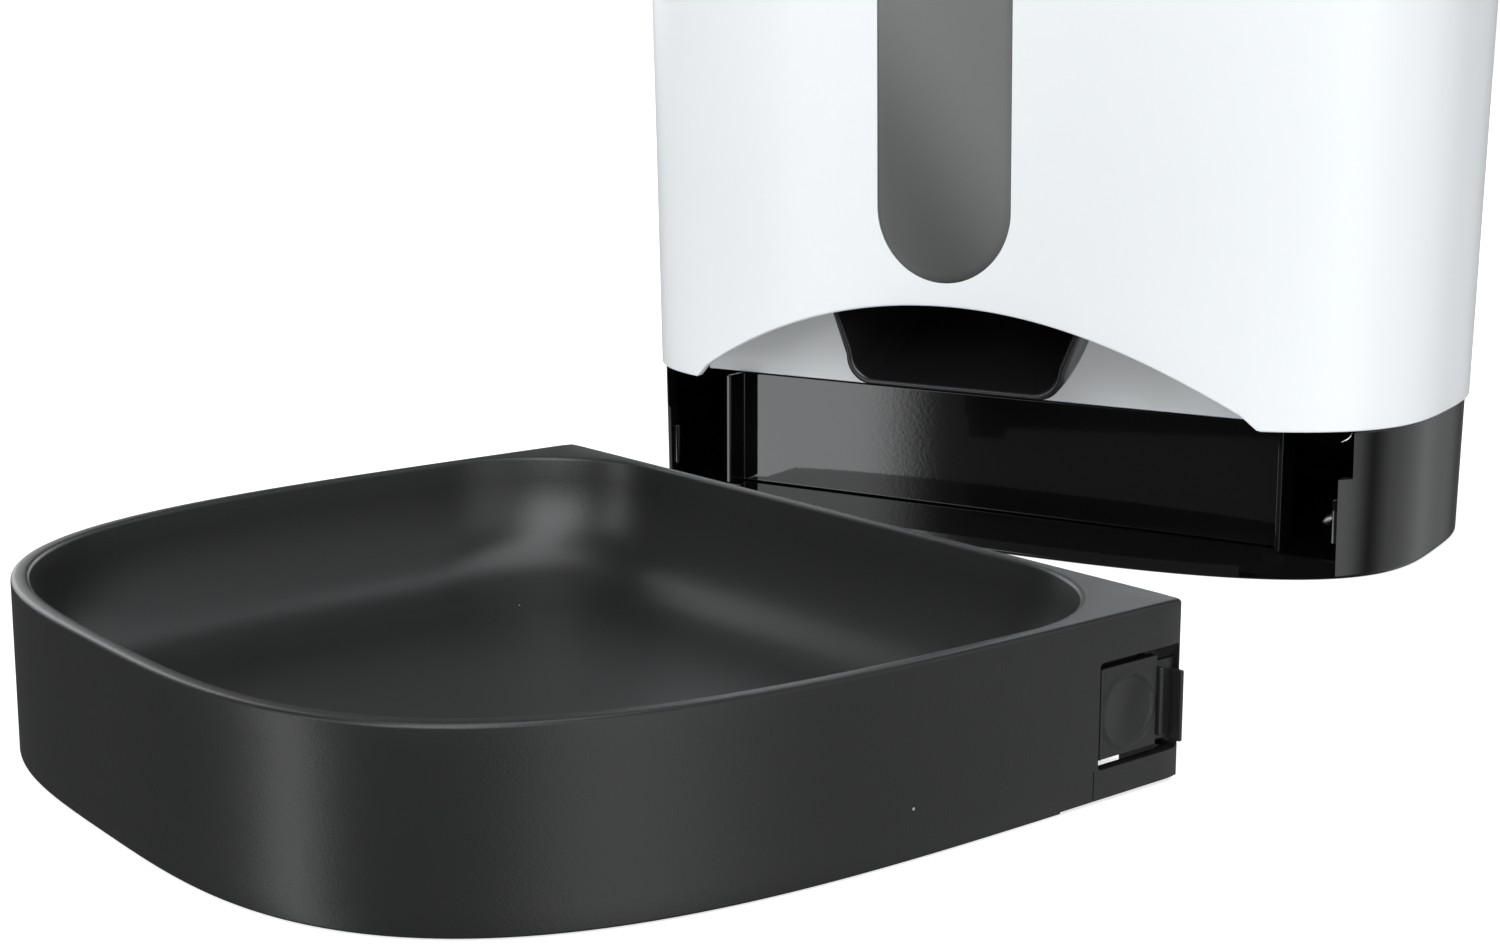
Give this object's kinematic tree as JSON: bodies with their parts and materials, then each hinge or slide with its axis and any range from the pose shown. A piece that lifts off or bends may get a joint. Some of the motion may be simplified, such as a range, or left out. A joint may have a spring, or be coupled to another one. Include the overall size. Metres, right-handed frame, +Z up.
{
  "type": "automatic pet feeder",
  "caption": "Upright white feeder on a black base with a dark level window, hinged lid, turning portion rotor and a wide shallow bowl that docks under a front arch.",
  "frame": {"origin": "centre of the flat underside of the base, on the floor", "axes": "+Z up; -Y towards the bowl and the animal; +X to the right of the feeder's own front as seen from -Y looking to +Y"},
  "size_m": [0.2449, 0.4315, 0.38],
  "materials": {
    "gloss_black": "polished black moulding",
    "white_shell": "cool white moulding with a soft sheen",
    "satin_black": "satin charcoal-black moulding",
    "smoked_plastic": "smoked translucent moulding",
    "clear_plastic": "clear moulding",
    "steel": "bright steel",
    "rubber": "matt rubber or silicone",
    "board_green": "solder-masked board",
    "acetal": "natural acetal",
    "grey_plastic": "grey moulding",
    "battery_jacket": "printed steel jacket, left plain"
  },
  "bodies": {
    "base": {"base_shell": "gloss_black", "battery_1": "battery_jacket", "battery_2": "battery_jacket", "battery_3": "battery_jacket", "battery_box": "grey_plastic", "contact_front": "steel", "contact_rear": "steel", "control_panel": "gloss_black", "display_board": "board_green", "display_lens": "smoked_plastic", "dock_panel": "gloss_black", "foot_1": "rubber", "foot_2": "rubber", "foot_3": "rubber", "foot_4": "rubber", "gearbox": "grey_plastic", "hinge_pin": "steel", "hopper": "clear_plastic", "housing": "white_shell", "ir_emitter": "smoked_plastic", "ir_receiver": "smoked_plastic", "main_board": "board_green", "mechanism_deck": "grey_plastic", "microswitch": "satin_black", "motor": "steel", "outlet_chute": "satin_black", "outlet_panel": "white_shell", "portion_guard": "rubber", "power_socket": "rubber", "rotor_cup": "white_shell", "shaft_bush": "steel", "speaker": "satin_black", "window": "smoked_plastic"},
    "bowl_pad": {"bowl_pad": "rubber"},
    "bowl": {"bowl": "satin_black"},
    "latch_left": {"latch_left": "satin_black"},
    "latch_right": {"latch_right": "satin_black"},
    "rotor": {"rotor": "grey_plastic", "rotor_shaft": "steel", "drive_gear": "acetal", "index_cam": "acetal"},
    "pinion": {"pinion": "acetal", "output_shaft": "steel"},
    "lid": {"lid": "satin_black", "lid_liner": "white_shell", "lid_seal": "rubber", "desiccant_cup": "white_shell"},
    "desiccant_cap": {"desiccant_cap": "white_shell"},
    "lid_latch": {"lid_latch": "grey_plastic"},
    "button_set": {"button_set": "grey_plastic"},
    "button_down": {"button_down": "grey_plastic"},
    "button_up": {"button_up": "grey_plastic"},
    "button_feed": {"button_feed": "grey_plastic"},
    "battery_door": {"battery_door": "gloss_black"}
  },
  "joints": [
    {"name": "bowl_slide", "type": "slide", "parent": "base", "child": "bowl_pad", "axis": [0, 1, 0], "range_m": [0, 0.1306]},
    {"name": "bowl_turn", "type": "hinge", "parent": "bowl_pad", "child": "bowl", "pos_m": [0, -0.263, 0], "axis": [0, 0, 1], "range_deg": [0, 18.9]},
    {"name": "latch_left_press", "type": "hinge", "parent": "bowl", "child": "latch_left", "pos_m": [-0.07005, -0.16629, 0.0165], "axis": [0, 0, -1], "range_deg": [0, 7], "stiffness_Nm_per_rad": 0.4},
    {"name": "latch_right_press", "type": "hinge", "parent": "bowl", "child": "latch_right", "pos_m": [0.11462, -0.22952, 0.0165], "axis": [0, 0, 1], "range_deg": [0, 7], "stiffness_Nm_per_rad": 0.4},
    {"name": "rotor_spin", "type": "hinge", "parent": "base", "child": "rotor", "pos_m": [0, 0.006, 0.12], "axis": [0, 0, 1], "continuous": true},
    {"name": "pinion_spin", "type": "hinge", "parent": "base", "child": "pinion", "pos_m": [0, 0.0354, 0.099], "axis": [0, 0, 1], "continuous": true},
    {"name": "lid_hinge", "type": "hinge", "parent": "base", "child": "lid", "pos_m": [0, 0.08, 0.335], "axis": [-1, 0, 0], "range_deg": [0, 100]},
    {"name": "desiccant_cap_turn", "type": "hinge", "parent": "lid", "child": "desiccant_cap", "pos_m": [0, 0, 0.3146], "axis": [0, 0, 1], "range_deg": [0, 60]},
    {"name": "lid_latch_push", "type": "slide", "parent": "lid", "child": "lid_latch", "axis": [0, 1, 0], "range_m": [0, 0.002], "stiffness_N_per_m": 400},
    {"name": "button_set_press", "type": "slide", "parent": "base", "child": "button_set", "axis": [0, 1, 0], "range_m": [0, 0.001], "stiffness_N_per_m": 500},
    {"name": "button_down_press", "type": "slide", "parent": "base", "child": "button_down", "axis": [0, 1, 0], "range_m": [0, 0.001], "stiffness_N_per_m": 500},
    {"name": "button_up_press", "type": "slide", "parent": "base", "child": "button_up", "axis": [0, 1, 0], "range_m": [0, 0.001], "stiffness_N_per_m": 500},
    {"name": "button_feed_press", "type": "slide", "parent": "base", "child": "button_feed", "axis": [0, 1, 0], "range_m": [0, 0.001], "stiffness_N_per_m": 500},
    {"name": "battery_door_slide", "type": "slide", "parent": "base", "child": "battery_door", "axis": [0, 1, 0], "range_m": [0, 0.068]}
  ],
  "couplings": [
    {"joint": "bowl_turn", "follows": "bowl_slide", "rad_per_m": 2.5258},
    {"joint": "pinion_spin", "follows": "rotor_spin", "ratio": -2}
  ]
}
